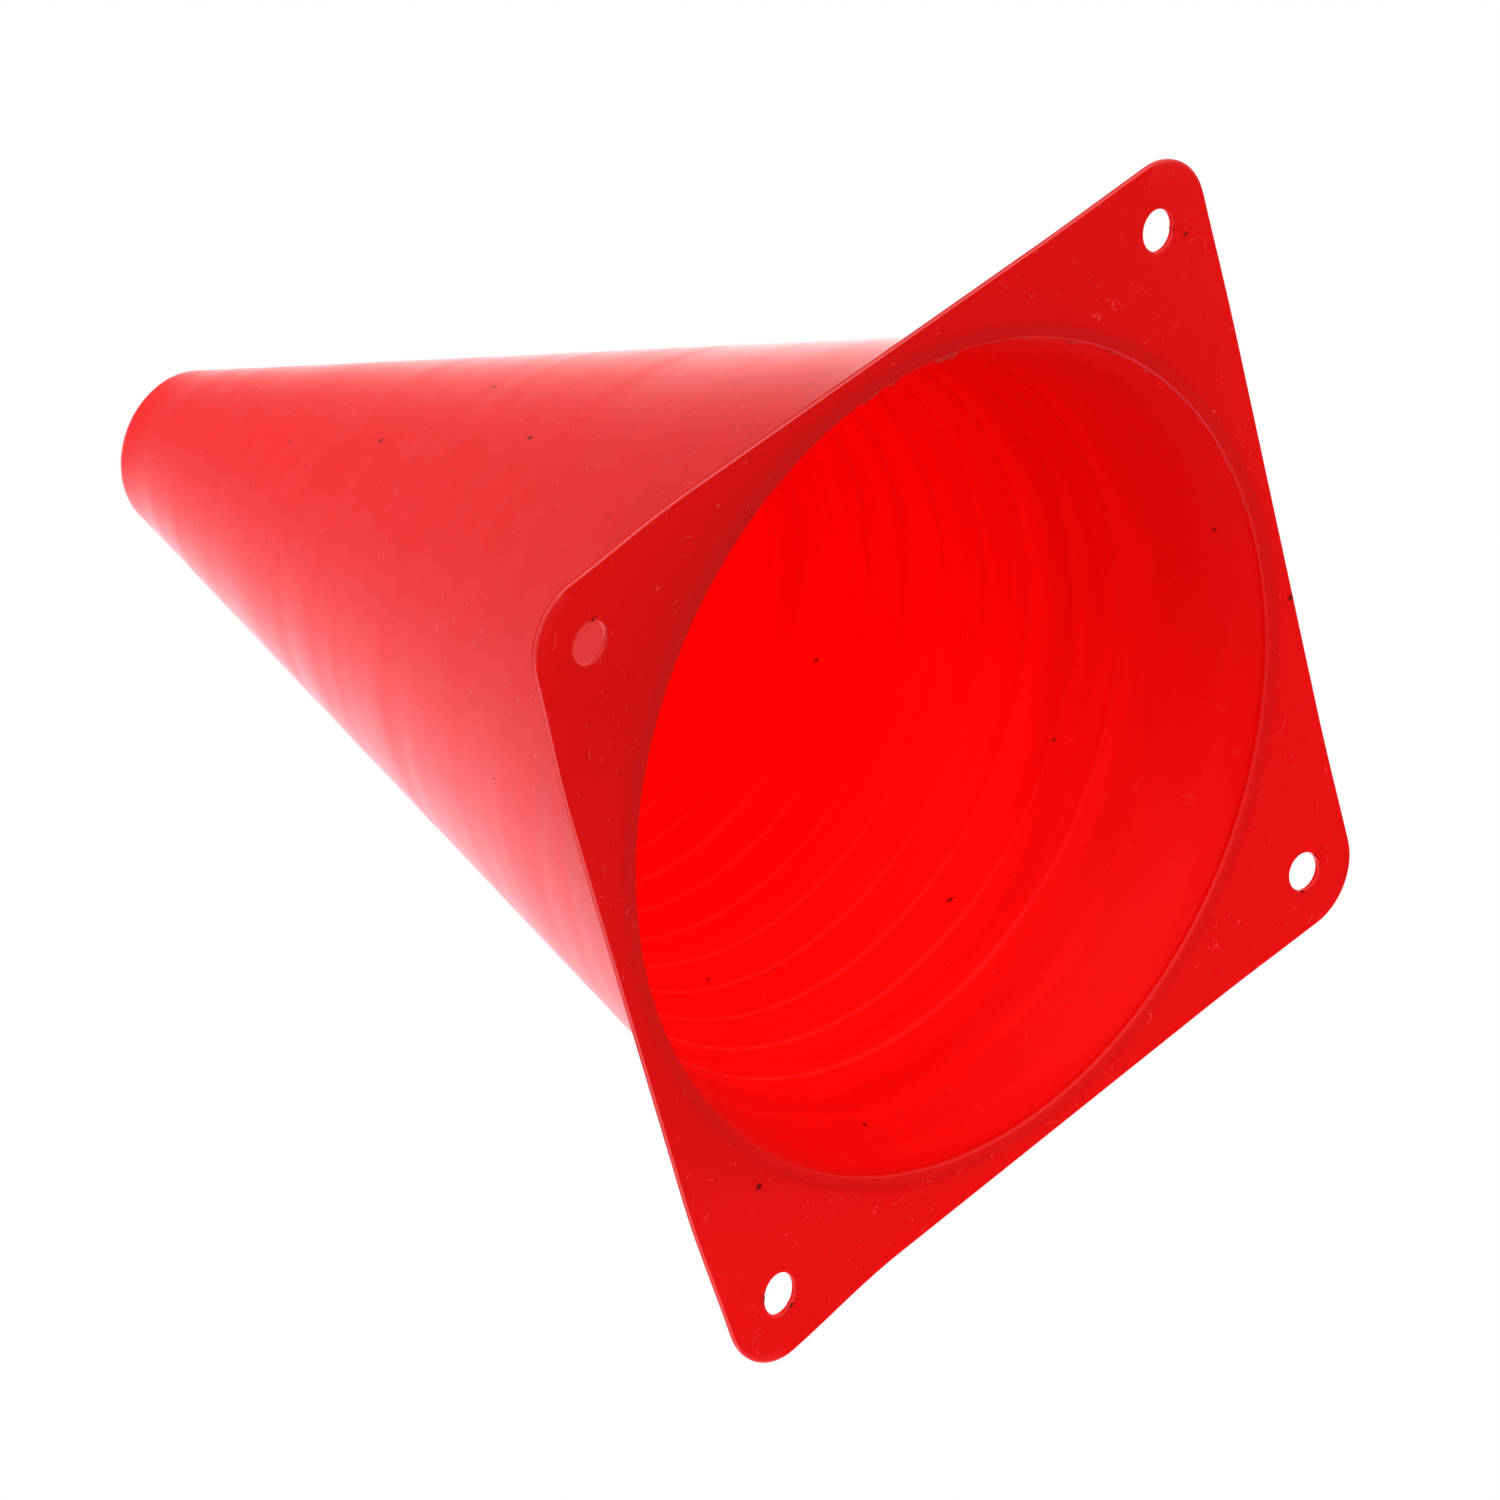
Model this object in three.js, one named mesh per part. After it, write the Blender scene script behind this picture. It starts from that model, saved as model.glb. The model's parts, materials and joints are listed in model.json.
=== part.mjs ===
/**
 * Sports marker cone with a square base, moulded in thin red polyethylene.
 *
 * The real object is a single moulding. Here its two regions are two solids that meet on one
 * flat plane, the top of the flange: the square base flange, and the tapered shell above it.
 *
 * Units are millimetres. +Z runs up the cone's axis, and z = 0 is the plane that the underside
 * of the flange rests on. The origin is at the middle of that underside.
 */
import * as THREE from 'three';

// ---- Driving dimensions ----
const BASE_SIDE = 140;
const HEIGHT = 192;
const MOUTH_RADIUS = 65;
const TIP_RADIUS = 13.5;

const FLANGE_THICKNESS = 0.8;
const WALL_THICKNESS = 0.9;
const TOP_THICKNESS = 1.2;

const CORNER_RADIUS = 10;
const PEG_HOLE_RADIUS = 3.2;
const PEG_HOLE_PITCH = 119;

const ROOT_FILLET = 1.2;
const TIP_ROUNDING = 1.5;

const GATE_DIMPLE_RADIUS = 2;
const GATE_DIMPLE_FLOOR_RADIUS = 1.6;
const GATE_DIMPLE_DEPTH = 0.4;

// ---- Facets in the round shapes ----
const CONE_FACETS = 96;
const PEG_HOLE_FACETS = 24;
const CORNER_STEPS = 8;
const FILLET_STEPS = 4;

// ---- Material ----
const redPolyethylene = new THREE.MeshStandardMaterial({
  color: 0xdc1a14,
  roughness: 0.38,
  metalness: 0,
  side: THREE.FrontSide,
});

/** Points on an arc from one angle to another, in degrees, both ends included. */
function arcPoints(centreX, centreY, radius, fromDegrees, toDegrees, steps) {
  const points = [];
  for (let step = 0; step <= steps; step += 1) {
    const angle = THREE.MathUtils.degToRad(THREE.MathUtils.lerp(fromDegrees, toDegrees, step / steps));
    points.push(new THREE.Vector2(
      centreX + radius * Math.cos(angle),
      centreY + radius * Math.sin(angle),
    ));
  }
  return points;
}

/** A whole circle as a closed run of points, without its first point again at the end. */
function circlePoints(centreX, centreY, radius, facets) {
  return arcPoints(centreX, centreY, radius, 0, 360, facets).slice(0, -1);
}

/** The square outline of the flange, anticlockwise, with its four rounded corners. */
function roundedSquarePoints(side, radius) {
  const reach = side / 2 - radius;
  const corners = [
    [reach, reach, 0],
    [-reach, reach, 90],
    [-reach, -reach, 180],
    [reach, -reach, 270],
  ];
  return corners.flatMap(([x, y, start]) => arcPoints(x, y, radius, start, start + 90, CORNER_STEPS));
}

/** Turns a profile of (radius, height) points about the Z axis. */
function turnAboutZ(profile) {
  const turned = new THREE.LatheGeometry(profile, CONE_FACETS);
  turned.rotateX(Math.PI / 2);
  return turned;
}

/** A fillet between two straight edges that meet at a corner, as points along its arc. */
function filletPoints(before, corner, after, radius) {
  const toBefore = before.clone().sub(corner).normalize();
  const toAfter = after.clone().sub(corner).normalize();
  const halfAngle = Math.acos(toBefore.dot(toAfter)) / 2;
  const bisector = toBefore.clone().add(toAfter).normalize();
  const centre = corner.clone().addScaledVector(bisector, radius / Math.sin(halfAngle));

  const tangentLength = radius / Math.tan(halfAngle);
  const start = corner.clone().addScaledVector(toBefore, tangentLength).sub(centre);
  const end = corner.clone().addScaledVector(toAfter, tangentLength).sub(centre);
  const sweep = Math.atan2(start.cross(end), start.dot(end));

  const points = [];
  for (let step = 0; step <= FILLET_STEPS; step += 1) {
    points.push(start.clone().rotateAround(new THREE.Vector2(), sweep * step / FILLET_STEPS).add(centre));
  }
  return points;
}

/** The thin square plate, with the cone's mouth and a peg hole through each corner. */
function makeBaseFlange() {
  const outline = new THREE.Shape(roundedSquarePoints(BASE_SIDE, CORNER_RADIUS));
  outline.holes.push(new THREE.Path(circlePoints(0, 0, MOUTH_RADIUS, CONE_FACETS)));

  const reach = PEG_HOLE_PITCH / 2;
  for (const x of [-reach, reach]) {
    for (const y of [-reach, reach]) {
      outline.holes.push(new THREE.Path(circlePoints(x, y, PEG_HOLE_RADIUS, PEG_HOLE_FACETS)));
    }
  }

  const plate = new THREE.ExtrudeGeometry(outline, { depth: FLANGE_THICKNESS, bevelEnabled: false });
  const mesh = new THREE.Mesh(plate, redPolyethylene);
  mesh.name = 'base_flange';
  return mesh;
}

/** The tapered wall with its closed flat top and moulding gate dimple, hollow and open at the foot. */
function makeConeShell() {
  const footInside = new THREE.Vector2(MOUTH_RADIUS, FLANGE_THICKNESS);
  const footOutside = new THREE.Vector2(MOUTH_RADIUS + WALL_THICKNESS, FLANGE_THICKNESS);
  const plateBeyond = new THREE.Vector2(BASE_SIDE / 2, FLANGE_THICKNESS);
  const tipEdge = new THREE.Vector2(TIP_RADIUS, HEIGHT);
  const dimpleRim = new THREE.Vector2(GATE_DIMPLE_RADIUS, HEIGHT);
  const dimpleFloorEdge = new THREE.Vector2(GATE_DIMPLE_FLOOR_RADIUS, HEIGHT - GATE_DIMPLE_DEPTH);
  const dimpleFloorMiddle = new THREE.Vector2(0, HEIGHT - GATE_DIMPLE_DEPTH);
  const taper = (footOutside.x - tipEdge.x) / (tipEdge.y - footOutside.y);
  const ceilingRadius = TIP_RADIUS + taper * TOP_THICKNESS - WALL_THICKNESS;
  const ceilingMiddle = new THREE.Vector2(0, HEIGHT - TOP_THICKNESS);
  const ceilingEdge = new THREE.Vector2(ceilingRadius, HEIGHT - TOP_THICKNESS);

  const profile = [
    ceilingMiddle,
    ceilingEdge,
    footInside,
    ...filletPoints(plateBeyond, footOutside, tipEdge, ROOT_FILLET),
    ...filletPoints(footOutside, tipEdge, dimpleRim, TIP_ROUNDING),
    dimpleRim,
    dimpleFloorEdge,
    dimpleFloorMiddle,
  ];
  const mesh = new THREE.Mesh(turnAboutZ(profile), redPolyethylene);
  mesh.name = 'cone_shell';
  return mesh;
}

const markerCone = new THREE.Group();
markerCone.add(makeBaseFlange(), makeConeShell());

export default markerCone;
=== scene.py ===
"""The looks of a small red marker cone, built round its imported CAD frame.

Lengths are in metres in the row's own frame: +Z runs up the cone's axis and z = 0 is the plane
under the flange. The object is one thin moulding in translucent polyethylene. It is shown as two
pieces that butt together where the fillet under the wall ends: the square base flange with its
peg holes, and the tapered shell with the lip of its mouth.
"""

import json
import logging
import math
import random
from dataclasses import dataclass
from enum import Enum
from typing import Callable, Iterable

import bmesh
import bpy
from mathutils import Matrix, Vector


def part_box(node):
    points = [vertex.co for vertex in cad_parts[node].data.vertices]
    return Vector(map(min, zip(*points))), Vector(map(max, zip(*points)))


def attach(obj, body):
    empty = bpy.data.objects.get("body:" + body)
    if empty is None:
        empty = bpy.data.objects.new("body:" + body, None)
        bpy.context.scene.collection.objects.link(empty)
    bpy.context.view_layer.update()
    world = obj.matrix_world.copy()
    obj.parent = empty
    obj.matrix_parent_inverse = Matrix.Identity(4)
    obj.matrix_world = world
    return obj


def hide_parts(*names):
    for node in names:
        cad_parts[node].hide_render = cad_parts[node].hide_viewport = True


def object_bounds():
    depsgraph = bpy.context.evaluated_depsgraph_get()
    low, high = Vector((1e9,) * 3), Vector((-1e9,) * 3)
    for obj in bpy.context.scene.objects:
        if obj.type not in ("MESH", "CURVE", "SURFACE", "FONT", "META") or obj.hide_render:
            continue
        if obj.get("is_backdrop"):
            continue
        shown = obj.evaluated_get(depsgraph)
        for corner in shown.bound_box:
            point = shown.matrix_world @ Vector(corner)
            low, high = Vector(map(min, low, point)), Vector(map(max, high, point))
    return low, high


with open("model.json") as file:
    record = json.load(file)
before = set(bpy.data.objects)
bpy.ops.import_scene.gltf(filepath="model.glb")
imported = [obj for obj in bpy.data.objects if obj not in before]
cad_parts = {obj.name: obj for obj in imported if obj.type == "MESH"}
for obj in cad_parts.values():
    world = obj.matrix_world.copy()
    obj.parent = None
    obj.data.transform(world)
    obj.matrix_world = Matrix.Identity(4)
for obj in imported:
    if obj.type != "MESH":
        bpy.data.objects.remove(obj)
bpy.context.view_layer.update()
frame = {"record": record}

LOG = logging.getLogger("marker_cone")
MM = 0.001
BODY = "root"

Point = tuple[float, float]
Colour = tuple[float, float, float]
Direction = tuple[float, float, float]
Socket = bpy.types.NodeSocket
Given = bpy.types.NodeOutputs

# Times a place, this leaves the way out from the axis.
LEVEL = (1, 1, 0)
COOL_WHITE = (1.0, 0.97, 1.08)
FLOOR_WHITE = (0.86, 0.86, 0.86, 1)
FLOOR_SIZE = 12.0
SENSOR_WIDTH = 36.0


class CadNode(Enum):
    """The CAD nodes that the pieces here stand for."""

    FLANGE = "base_flange"
    SHELL = "cone_shell"


class Slot(Enum):
    """The record's material slots."""

    FLANGE = "flange_polyethylene"
    SHELL = "shell_polyethylene"


class SocketKind(Enum):
    """The kinds of socket that a shader node group has here."""

    VALUE = "NodeSocketFloat"
    VECTOR = "NodeSocketVector"


# ---------------------------------------------------------------------------------------------
# Bench work: shaping a mesh with Blender's own operators
# ---------------------------------------------------------------------------------------------


class Bench:
    """One mesh on the bench, shaped in edit mode and finished with applied modifiers."""

    TOUCH = 0.02 * MM

    def __init__(self, name: str, segments: int, radius: float, height: float) -> None:
        """Starts the mesh as an open ring of edges about the Z axis.

        Args:
            name: The name of the finished piece.
            segments: How many edges go round the ring.
            radius: The ring's radius.
            height: The ring's height.
        """
        bpy.ops.object.select_all(action="DESELECT")
        bpy.ops.mesh.primitive_circle_add(
            vertices=segments, radius=radius, fill_type="NOTHING", location=(0, 0, height)
        )
        bpy.ops.object.transform_apply(location=True, rotation=True, scale=True)
        self.piece = bpy.context.object
        self.piece.name = name
        self.piece.data.name = name
        self.radius = radius
        self.height = height
        bpy.ops.object.mode_set(mode="EDIT")
        bpy.ops.mesh.select_mode(type="VERT")
        bpy.ops.mesh.select_all(action="SELECT")

    def select(self, wanted: Callable[[Vector], bool]) -> None:
        """Selects the vertices whose place passes a test, and the edges and faces between them.

        Args:
            wanted: Says whether the vertex at a place is wanted.
        """
        bpy.ops.mesh.select_all(action="DESELECT")
        mesh = bmesh.from_edit_mesh(self.piece.data)
        for vertex in mesh.verts:
            vertex.select_set(wanted(vertex.co))
        mesh.select_flush(True)
        bmesh.update_edit_mesh(self.piece.data)

    def select_edges(self, wanted: Callable[[bmesh.types.BMEdge], bool]) -> None:
        """Selects the edges that pass a test, and nothing else."""
        mesh = bmesh.from_edit_mesh(self.piece.data)
        for edge in mesh.edges:
            edge.select_set(wanted(edge))
        bmesh.update_edit_mesh(self.piece.data)

    def take_up(self) -> None:
        """Makes the piece the active one and the only one selected."""
        bpy.ops.object.select_all(action="DESELECT")
        self.piece.select_set(True)
        bpy.context.view_layer.objects.active = self.piece

    def select_ring(self, radius: float, height: float) -> None:
        """Selects a ring of vertices by its radius and height, ready to be drawn out again."""
        self.select(
            lambda at: abs(at.z - height) < self.TOUCH
            and abs(math.hypot(at.x, at.y) - radius) < self.TOUCH
        )
        self.radius = radius
        self.height = height

    def draw_out(self, profile: Iterable[Point]) -> None:
        """Extrudes the selected ring through a profile, as a lathe cuts it.

        Args:
            profile: The radius and height of each new ring, in order.
        """
        for radius, height in profile:
            bpy.ops.mesh.extrude_region_move(
                TRANSFORM_OT_translate={"value": (0, 0, height - self.height)}
            )
            factor = radius / self.radius
            bpy.ops.transform.resize(value=(factor, factor, 1), center_override=(0, 0, 0))
            self.radius = radius
            self.height = height

    def close_centre(self) -> None:
        """Merges the selected ring into one vertex on the axis."""
        bpy.ops.mesh.merge(type="CENTER")

    def modify(self, kind: str, **settings: object) -> None:
        """Adds a modifier in object mode, sets it and applies it.

        Args:
            kind: The modifier's type, in Blender's capitals.
            settings: Its settings by name.
        """
        modifier = self.piece.modifiers.new(kind.lower(), kind)
        for setting, value in settings.items():
            setattr(modifier, setting, value)
        bpy.ops.object.modifier_apply(modifier=modifier.name)

    def leave_edit_mode(self) -> None:
        """Cleans the closed mesh and turns its faces outwards."""
        bpy.ops.mesh.select_all(action="SELECT")
        bpy.ops.mesh.remove_doubles(threshold=0.001 * MM)
        bpy.ops.mesh.normals_make_consistent(inside=False)
        bpy.ops.mesh.select_all(action="DESELECT")
        bpy.ops.object.mode_set(mode="OBJECT")

    def smooth(self, sharp_degrees: float) -> None:
        """Shades the piece smooth, apart from edges that turn by more than an angle."""
        bpy.ops.object.shade_smooth_by_angle(angle=math.radians(sharp_degrees))


def arc(centre: Point, radii: Point, start: float, end: float, steps: int) -> list[Point]:
    """Points on an elliptical arc in the plane of radius and height.

    Args:
        centre: The radius and height of the ellipse's middle.
        radii: Its half sizes along the radius and the height.
        start: The first angle in degrees, from the outward direction towards +Z.
        end: The last angle in degrees.
        steps: How many steps the arc is cut into.

    Returns:
        The points of the arc, both ends included.
    """
    points = []
    for step in range(steps + 1):
        angle = math.radians(start + (end - start) * step / steps)
        points.append(
            (centre[0] + radii[0] * math.cos(angle), centre[1] + radii[1] * math.sin(angle))
        )
    return points


def spaced(start: Point, end: Point, steps: int) -> list[Point]:
    """Evenly spaced points on a straight line, without its first point."""
    return [
        (
            start[0] + (end[0] - start[0]) * step / steps,
            start[1] + (end[1] - start[1]) * step / steps,
        )
        for step in range(1, steps + 1)
    ]


# ---------------------------------------------------------------------------------------------
# Pieces
# ---------------------------------------------------------------------------------------------


@dataclass(frozen=True)
class Moulding:
    """The sizes that both regions of the moulding share, read from the frame where it has them."""

    side: float
    height: float
    flange: float
    peg_holes: tuple[Point, ...]
    mouth_radius: float = 65 * MM
    wall: float = 0.9 * MM
    root_fillet: float = 1.2 * MM
    tip_radius: float = 13.5 * MM
    segments: int = 384

    @classmethod
    def from_frame(cls) -> "Moulding":
        """Reads the plate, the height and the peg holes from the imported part.

        Returns:
            The moulding's shared sizes.
        """
        low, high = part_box(CadNode.FLANGE.value)
        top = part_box(CadNode.SHELL.value)[1]
        holes = []
        for opening in frame["record"]["physics"]["openings"]:
            if opening["name"].startswith("peg_hole"):
                near, far = opening["box_m"]
                holes.append(((near[0] + far[0]) / 2, (near[1] + far[1]) / 2))
        return cls(side=high.x - low.x, height=top.z, flange=high.z, peg_holes=tuple(holes))

    @property
    def seam_radius(self) -> float:
        """Where the two pieces meet: at the end of the fillet under the wall."""
        return self.mouth_radius + self.wall + self.root_fillet

    @property
    def taper(self) -> float:
        """How much the wall's radius falls for each metre of height."""
        foot = self.mouth_radius + self.wall
        return (foot - self.tip_radius) / (self.height - self.flange)

    def outside(self, height: float) -> float:
        """The radius of the wall's outer face at a height."""
        return self.mouth_radius + self.wall - self.taper * (height - self.flange)

    def inside(self, height: float) -> float:
        """The radius of the wall's inner face at a height."""
        return self.outside(height) - self.wall


@dataclass
class TaperedShell:
    """The hollow tapered wall, from the flashed lip of its mouth to its closed top."""

    moulding: Moulding
    lip_width: float = 0.6 * MM
    lip_rise: float = 0.4 * MM
    flash_reach: float = 0.03 * MM
    flash_width: float = 0.08 * MM
    burr_reach: float = 0.32 * MM
    burr_sector: Point = (-4, 84)
    burr_half_angle: Point = (0.4, 1.3)
    burr_count: int = 60
    burr_seed: int = 11
    tip_rounding: float = 2.4 * MM
    top_thickness: float = 1.2 * MM
    ceiling_fillet: float = 1.0 * MM
    dimple_radius: float = 2.0 * MM
    dimple_depth: float = 0.4 * MM
    first_ring: float = 26 * MM
    ring_pitch: float = 8.3 * MM
    ring_closing: float = 0.15 * MM
    ring_count: int = 16
    ring_width: float = 0.7 * MM
    ring_depth: float = 0.08 * MM
    ring_shoulder: float = 0.45 * MM
    wall_steps: int = 32
    fillet_steps: int = 6
    sharp_degrees: float = 35

    def ring_heights(self) -> list[float]:
        """The heights of the rings inside, which draw closer together up the cone."""
        return [
            self.first_ring + self.ring_pitch * turn - self.ring_closing * turn * turn
            for turn in range(self.ring_count)
        ]

    def outer_profile(self) -> list[Point]:
        """The outer face from the foot to the rim of the gate dimple."""
        shape = self.moulding
        foot = shape.flange
        fillet = shape.root_fillet
        points = []
        for step in range(self.fillet_steps + 1):
            turn = math.radians(90 * step / self.fillet_steps)
            rise = fillet * (1 - math.cos(turn))
            reach = fillet * (1 - math.sin(turn))
            points.append((shape.outside(foot + rise) + reach, foot + rise))

        shoulder = shape.height - self.tip_rounding
        points += spaced(points[-1], (shape.outside(shoulder), shoulder), self.wall_steps)
        centre = (shape.outside(shoulder) - self.tip_rounding, shoulder)
        points += arc(centre, (self.tip_rounding, self.tip_rounding), 0, 90, self.fillet_steps)[1:]
        points += spaced(points[-1], (self.dimple_radius, shape.height), 3)
        points.append((self.dimple_radius * 0.8, shape.height - self.dimple_depth))
        points.append((self.dimple_radius * 0.3, shape.height - self.dimple_depth))
        return points

    def lip_profile(self) -> list[Point]:
        """The underside from the seam, round the lip and over the thin flash inside it."""
        mouth = self.moulding.mouth_radius
        flash = mouth - self.flash_reach
        centre = (mouth + self.lip_width, self.lip_rise)
        points = arc(centre, (self.lip_width, self.lip_rise), 270, 180, self.fillet_steps)
        points.append((flash, self.lip_rise + self.flash_width * 0.5))
        points.append((flash, self.lip_rise + self.flash_width))
        points.append((mouth, self.lip_rise + self.flash_width * 2))
        return points

    def raise_burrs(self, bench: Bench) -> None:
        """Draws short lengths of the flash further in, so that its edge is torn and uneven.

        Args:
            bench: The bench that holds the shell, in edit mode.
        """
        chance = random.Random(self.burr_seed)
        flash = self.moulding.mouth_radius - self.flash_reach
        top = self.moulding.flange
        for _ in range(self.burr_count):
            middle = math.radians(chance.uniform(*self.burr_sector))
            half = math.radians(chance.uniform(*self.burr_half_angle))
            reach = self.burr_reach * chance.uniform(0.1, 1.0) ** 2

            def on_burr(at: Vector) -> bool:
                """Whether a place is on this length of the flash's edge."""
                near = abs(math.remainder(math.atan2(at.y, at.x) - middle, math.tau)) < half
                return near and at.z < top and math.hypot(at.x, at.y) < flash + bench.TOUCH

            bench.select(on_burr)
            factor = 1 - reach / flash
            bpy.ops.transform.resize(value=(factor, factor, 1), center_override=(0, 0, 0))

    def inner_profile(self) -> list[Point]:
        """The inner face from the lip to the middle of the ceiling, with its rings."""
        shape = self.moulding
        ceiling = shape.height - self.top_thickness
        springing = ceiling - self.ceiling_fillet
        heights = [(shape.flange + self.ring_shoulder, 0.0)]
        for step in range(1, self.wall_steps + 1):
            climb = (springing - shape.flange) * step / self.wall_steps
            heights.append((shape.flange + climb, 0.0))
        for ring in self.ring_heights():
            half = self.ring_width / 2
            beside = half + self.ring_shoulder
            heights = [level for level in heights if abs(level[0] - ring) > beside]
            heights += [(ring - beside, 0.0), (ring - half, 0.0), (ring, self.ring_depth)]
            heights += [(ring + half, 0.0), (ring + beside, 0.0)]
        points = [(shape.inside(height) - depth, height) for height, depth in sorted(heights)]

        centre = (shape.inside(springing) - self.ceiling_fillet, springing)
        points += arc(centre, (self.ceiling_fillet, self.ceiling_fillet), 0, 90, 5)[1:]
        points += spaced(points[-1], (self.dimple_radius, ceiling), 2)
        return points

    def build(self) -> bpy.types.Object:
        """Draws the shell from one ring at the seam: up the outside, then in and up the inside.

        Returns:
            The finished piece.
        """
        shape = self.moulding
        bench = Bench("tapered_shell", shape.segments, shape.seam_radius, 0.0)
        bench.draw_out(self.outer_profile())
        bench.close_centre()
        bench.select_ring(shape.seam_radius, 0.0)
        bench.draw_out(self.lip_profile() + self.inner_profile())
        bench.close_centre()
        self.raise_burrs(bench)
        bench.leave_edit_mode()
        bench.smooth(self.sharp_degrees)
        faces = len(bench.piece.data.polygons)
        LOG.info("tapered_shell: %d faces, %d rings", faces, self.ring_count)
        return bench.piece


@dataclass
class BaseFlange:
    """The thin square plate round the foot of the wall, with its four peg holes."""

    moulding: Moulding
    corner_radius: float = 10 * MM
    corner_steps: int = 16
    hole_radius: float = 3.2 * MM
    edge_break: float = 0.24 * MM
    rim_break: float = 0.24 * MM
    rim_slack: float = 0.15 * MM
    plate_cuts: int = 8
    hole_steps: int = 48
    hole_stretch: Point = (0.97, 1.02)
    hole_turn: float = 40
    punch_length: float = 20 * MM
    rim_degrees: float = 60
    sharp_degrees: float = 40
    corner_droop: tuple[float, ...] = (-0.55 * MM, 0.65 * MM, 2.2 * MM, 2.05 * MM)
    droop_reach: float = 30 * MM

    def add_outline(self, bench: Bench) -> None:
        """Adds the plate's square outline with rounded corners, as a ring of edges at z = 0."""
        bpy.ops.mesh.select_all(action="DESELECT")
        bpy.ops.mesh.primitive_plane_add(size=self.moulding.side - 2 * self.edge_break)
        radius = self.corner_radius - self.edge_break
        bpy.ops.mesh.bevel(
            affect="VERTICES", offset=radius, offset_type="OFFSET", segments=self.corner_steps
        )
        bpy.ops.mesh.delete(type="ONLY_FACE")
        bench.select_edges(lambda edge: edge.calc_length() > self.moulding.side / 2)
        cuts = self.moulding.segments // 4 - self.corner_steps - 1
        bpy.ops.mesh.subdivide(number_cuts=cuts)

    def build_plate(self) -> Bench:
        """Builds the plate with its mouth, closed all round and without peg holes.

        Returns:
            The bench that holds it.
        """
        shape = self.moulding
        bench = Bench("square_flange", shape.segments, shape.seam_radius, shape.flange)
        bench.draw_out([(shape.seam_radius, 0.0)])
        self.add_outline(bench)

        bench.select(lambda at: abs(at.z) < bench.TOUCH)
        bpy.ops.mesh.bridge_edge_loops(number_cuts=self.plate_cuts, interpolation="LINEAR")

        bench.select(self.on_outline)
        bench.radius = shape.side / 2 - self.edge_break
        bench.height = 0.0
        half = shape.side / 2
        bench.draw_out(
            [
                (half, self.edge_break),
                (half, shape.flange - self.edge_break),
                (half - self.edge_break, shape.flange),
            ]
        )
        bench.select(lambda at: abs(at.z - shape.flange) < bench.TOUCH)
        bpy.ops.mesh.bridge_edge_loops(number_cuts=self.plate_cuts, interpolation="LINEAR")
        bench.leave_edit_mode()
        return bench

    def on_outline(self, at: Vector) -> bool:
        """Whether a place at the underside is on the plate's outline."""
        reach = self.moulding.side / 2 - self.edge_break
        inner = reach - (self.corner_radius - self.edge_break)
        beyond = math.hypot(max(abs(at.x) - inner, 0), max(abs(at.y) - inner, 0))
        return abs(at.z) < Bench.TOUCH and beyond > reach - inner - Bench.TOUCH

    def punch(self, bench: Bench) -> None:
        """Cuts the four peg holes through the plate and breaks their edges."""
        for number, (x, y) in enumerate(self.moulding.peg_holes):
            bpy.ops.object.select_all(action="DESELECT")
            bpy.ops.mesh.primitive_cylinder_add(
                vertices=self.hole_steps,
                radius=self.hole_radius,
                depth=self.punch_length,
                location=(x, y, 0),
            )
            punch = bpy.context.object
            bpy.ops.object.mode_set(mode="EDIT")
            bpy.ops.mesh.select_all(action="SELECT")
            bpy.ops.transform.resize(value=(*self.hole_stretch, 1), center_override=(x, y, 0))
            bpy.ops.transform.rotate(
                value=math.radians(self.hole_turn * number),
                orient_axis="Z",
                center_override=(x, y, 0),
            )
            bpy.ops.object.mode_set(mode="OBJECT")
            bpy.context.view_layer.objects.active = bench.piece
            bench.modify("BOOLEAN", operation="DIFFERENCE", object=punch, solver="EXACT")
            bpy.data.objects.remove(punch)
        bpy.ops.object.mode_set(mode="EDIT")
        bpy.ops.mesh.select_all(action="DESELECT")
        bench.select_edges(self.on_rim)
        bpy.ops.mesh.bevel(affect="EDGES", offset=self.rim_break, offset_type="OFFSET", segments=2)
        bpy.ops.object.mode_set(mode="OBJECT")

    def on_rim(self, edge: bmesh.types.BMEdge) -> bool:
        """Whether an edge is a sharp one on the rim of a peg hole."""
        if not edge.is_manifold or edge.calc_face_angle() <= math.radians(self.rim_degrees):
            return False
        for vertex in edge.verts:
            at = vertex.co
            near = min(math.hypot(at.x - x, at.y - y) for x, y in self.moulding.peg_holes)
            if abs(near - self.hole_radius) >= self.rim_slack:
                return False
        return True

    def droop(self, bench: Bench) -> None:
        """Pulls each corner down a little, as a thin moulding warps when it cools."""
        bpy.ops.object.mode_set(mode="EDIT")
        reach = self.moulding.side / 2
        for turn, drop in enumerate(self.corner_droop):
            angle = math.radians(45 + 90 * turn)
            right = math.copysign(reach, math.cos(angle))
            ahead = math.copysign(reach, math.sin(angle))
            corner = Vector((right, ahead, 0))
            bench.select(lambda at: (at - corner).length < self.corner_radius / 2)
            bpy.ops.transform.translate(
                value=(0, 0, -drop),
                use_proportional_edit=True,
                proportional_edit_falloff="SMOOTH",
                proportional_size=self.droop_reach,
            )
        bpy.ops.mesh.select_all(action="DESELECT")
        bpy.ops.object.mode_set(mode="OBJECT")

    def build(self) -> bpy.types.Object:
        """Builds the plate, punches it and lets it warp.

        Returns:
            The finished piece.
        """
        bench = self.build_plate()
        bench.take_up()
        self.punch(bench)
        bench.take_up()
        self.droop(bench)
        bench.smooth(self.sharp_degrees)
        LOG.info("square_flange: %d faces", len(bench.piece.data.polygons))
        return bench.piece


# ---------------------------------------------------------------------------------------------
# Finishes
# ---------------------------------------------------------------------------------------------


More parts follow.
